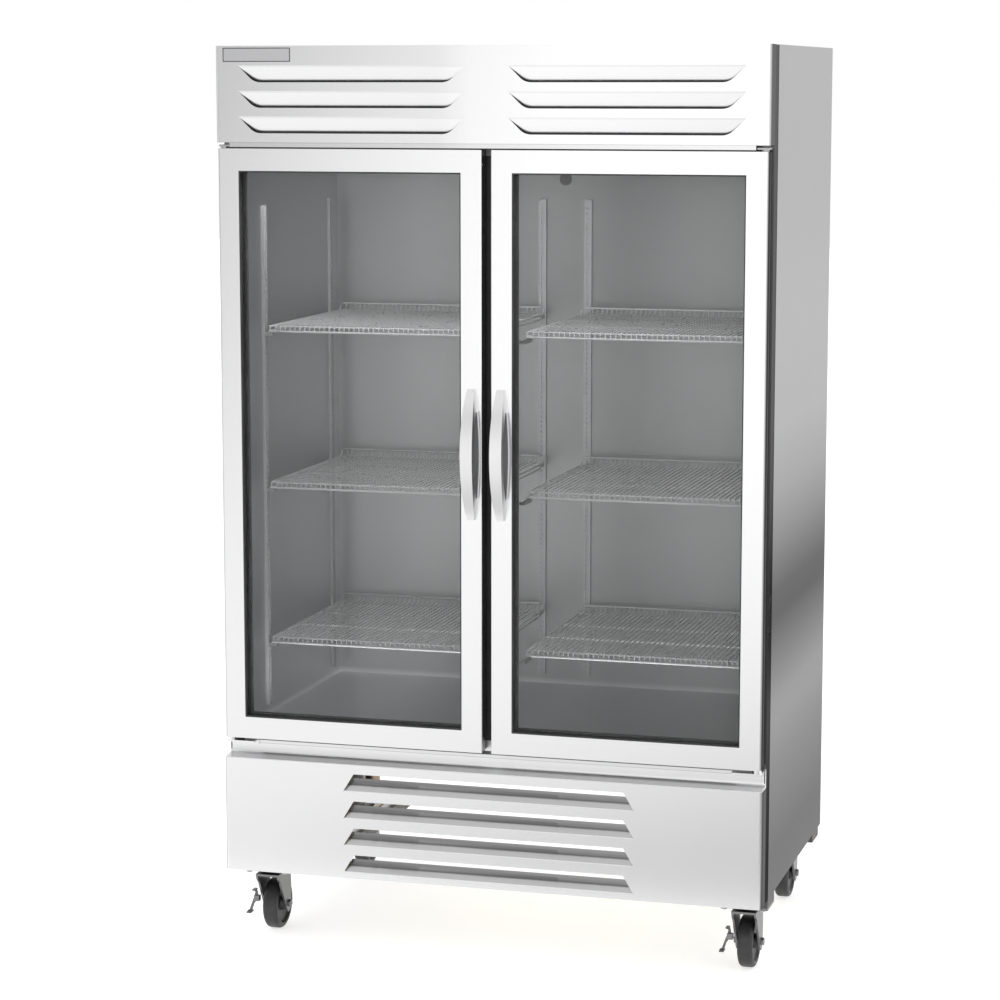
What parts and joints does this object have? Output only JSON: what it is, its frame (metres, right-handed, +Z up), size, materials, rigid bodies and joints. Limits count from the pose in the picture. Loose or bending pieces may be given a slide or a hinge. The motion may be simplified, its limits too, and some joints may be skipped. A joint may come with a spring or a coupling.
{
  "type": "reach-in refrigerator",
  "caption": "Upright glass-door refrigerator on swivel casters, with louvred header and base, bow handles, wire shelves, brake pedals and a condensing unit in the base.",
  "frame": {"origin": "centre of the overall plan at floor level, with the doors shut and the casters trailing to the rear", "axes": "X runs to the right as seen from in front of the doors, Y from the doors to the back, Z up"},
  "size_m": [1.3209, 0.9244, 2.1776],
  "materials": {
    "stainless_front": "fine vertical brushed grain",
    "stainless_side": "satin",
    "galvanised": "dull galvanised",
    "liner_steel": "satin",
    "foam": "closed-cell foam",
    "dark_plastic": "matte",
    "grey_plastic": "matte",
    "white_plastic": "frosted",
    "glazing": "clear",
    "gasket_rubber": "matte",
    "satin_metal": "satin",
    "zinc": "zinc plated",
    "coated_wire": "epoxy coated",
    "fin_aluminium": "mill finish",
    "black_paint": "semi-gloss",
    "copper": "drawn tube",
    "tread": "matte",
    "dark_steel": "primed"
  },
  "bodies": {
    "cabinet": {"outer_side_left": "stainless_side", "outer_side_right": "stainless_side", "top_panel": "galvanised", "back_panel": "galvanised", "condensing_unit_tray": "galvanised", "condenser_shroud": "galvanised", "electrical_box": "galvanised", "foam_insulation": "foam", "inner_liner": "liner_steel", "evaporator_housing": "liner_steel", "pilasters": "liner_steel", "breaker_strips": "grey_plastic", "door_sill": "stainless_front", "header_panel": "stainless_front", "lower_panel": "stainless_front", "mullion_post": "dark_plastic", "interior_lamps": "white_plastic", "nameplate": "satin_metal", "evaporator_coil": "fin_aluminium", "condenser_coil": "fin_aluminium", "compressor": "black_paint", "condenser_fan_motor": "black_paint", "evaporator_fan_motors": "black_paint", "refrigerant_lines": "copper", "base_frame": "dark_steel", "left_top_hinge": "zinc", "right_top_hinge": "zinc", "left_bottom_hinge": "zinc", "right_bottom_hinge": "zinc", "shelf_clips": "zinc", "caster_top_plates": "zinc", "left_shelf_lower": "coated_wire", "left_shelf_middle": "coated_wire", "left_shelf_upper": "coated_wire", "right_shelf_lower": "coated_wire", "right_shelf_middle": "coated_wire", "right_shelf_upper": "coated_wire"},
    "left_door": {"left_door_frame": "stainless_front", "left_door_inner_frame": "dark_plastic", "left_door_glass": "glazing", "left_door_gasket": "gasket_rubber", "left_door_handle": "satin_metal"},
    "right_door": {"right_door_frame": "stainless_front", "right_door_inner_frame": "dark_plastic", "right_door_glass": "glazing", "right_door_gasket": "gasket_rubber", "right_door_handle": "satin_metal"},
    "caster_front_left": {"caster_fork_front_left": "zinc"},
    "wheel_front_left": {"caster_wheel_front_left": "tread"},
    "caster_front_right": {"caster_fork_front_right": "zinc"},
    "wheel_front_right": {"caster_wheel_front_right": "tread"},
    "caster_rear_left": {"caster_fork_rear_left": "zinc"},
    "wheel_rear_left": {"caster_wheel_rear_left": "tread"},
    "caster_rear_right": {"caster_fork_rear_right": "zinc"},
    "wheel_rear_right": {"caster_wheel_rear_right": "tread"},
    "brake_left": {"brake_lever_left": "zinc"},
    "cold_fan_left": {"evaporator_fan_left": "grey_plastic"},
    "brake_right": {"brake_lever_right": "zinc"},
    "cold_fan_right": {"evaporator_fan_right": "grey_plastic"},
    "condenser_fan_wheel": {"condenser_fan": "fin_aluminium"}
  },
  "joints": [
    {"name": "left_door_hinge", "type": "hinge", "parent": "cabinet", "child": "left_door", "pos_m": [-0.646, -0.39825, 1.232], "axis": [0, 0, -1], "range_deg": [0, 120], "stiffness_Nm_per_rad": 1.5},
    {"name": "right_door_hinge", "type": "hinge", "parent": "cabinet", "child": "right_door", "pos_m": [0.646, -0.39825, 1.232], "axis": [0, 0, 1], "range_deg": [0, 120], "stiffness_Nm_per_rad": 1.5},
    {"name": "caster_swivel_front_left", "type": "hinge", "parent": "cabinet", "child": "caster_front_left", "pos_m": [-0.5985, -0.25525, 0.15], "axis": [0, 0, 1], "continuous": true},
    {"name": "caster_axle_front_left", "type": "hinge", "parent": "caster_front_left", "child": "wheel_front_left", "pos_m": [-0.5985, -0.22325, 0.0635], "axis": [1, 0, 0], "continuous": true},
    {"name": "caster_swivel_front_right", "type": "hinge", "parent": "cabinet", "child": "caster_front_right", "pos_m": [0.5985, -0.25525, 0.15], "axis": [0, 0, 1], "continuous": true},
    {"name": "caster_axle_front_right", "type": "hinge", "parent": "caster_front_right", "child": "wheel_front_right", "pos_m": [0.5985, -0.22325, 0.0635], "axis": [1, 0, 0], "continuous": true},
    {"name": "caster_swivel_rear_left", "type": "hinge", "parent": "cabinet", "child": "caster_rear_left", "pos_m": [-0.572, 0.36675, 0.15], "axis": [0, 0, 1], "continuous": true},
    {"name": "caster_axle_rear_left", "type": "hinge", "parent": "caster_rear_left", "child": "wheel_rear_left", "pos_m": [-0.572, 0.39875, 0.0635], "axis": [1, 0, 0], "continuous": true},
    {"name": "caster_swivel_rear_right", "type": "hinge", "parent": "cabinet", "child": "caster_rear_right", "pos_m": [0.572, 0.36675, 0.15], "axis": [0, 0, 1], "continuous": true},
    {"name": "caster_axle_rear_right", "type": "hinge", "parent": "caster_rear_right", "child": "wheel_rear_right", "pos_m": [0.572, 0.39875, 0.0635], "axis": [1, 0, 0], "continuous": true},
    {"name": "brake_pedal_left", "type": "hinge", "parent": "caster_front_left", "child": "brake_left", "pos_m": [-0.6365, -0.26925, 0.084], "axis": [0, -1, 0], "range_deg": [0, 14]},
    {"name": "brake_pedal_right", "type": "hinge", "parent": "caster_front_right", "child": "brake_right", "pos_m": [0.5605, -0.26925, 0.084], "axis": [0, -1, 0], "range_deg": [0, 14]},
    {"name": "cold_fan_spin_left", "type": "hinge", "parent": "cabinet", "child": "cold_fan_left", "pos_m": [-0.215, -0.04825, 2.028], "axis": [0, 1, 0], "continuous": true},
    {"name": "cold_fan_spin_right", "type": "hinge", "parent": "cabinet", "child": "cold_fan_right", "pos_m": [0.215, -0.04825, 2.028], "axis": [0, 1, 0], "continuous": true},
    {"name": "condenser_fan_spin", "type": "hinge", "parent": "cabinet", "child": "condenser_fan_wheel", "pos_m": [-0.534, -0.25825, 0.333], "axis": [0, 1, 0], "continuous": true}
  ]
}
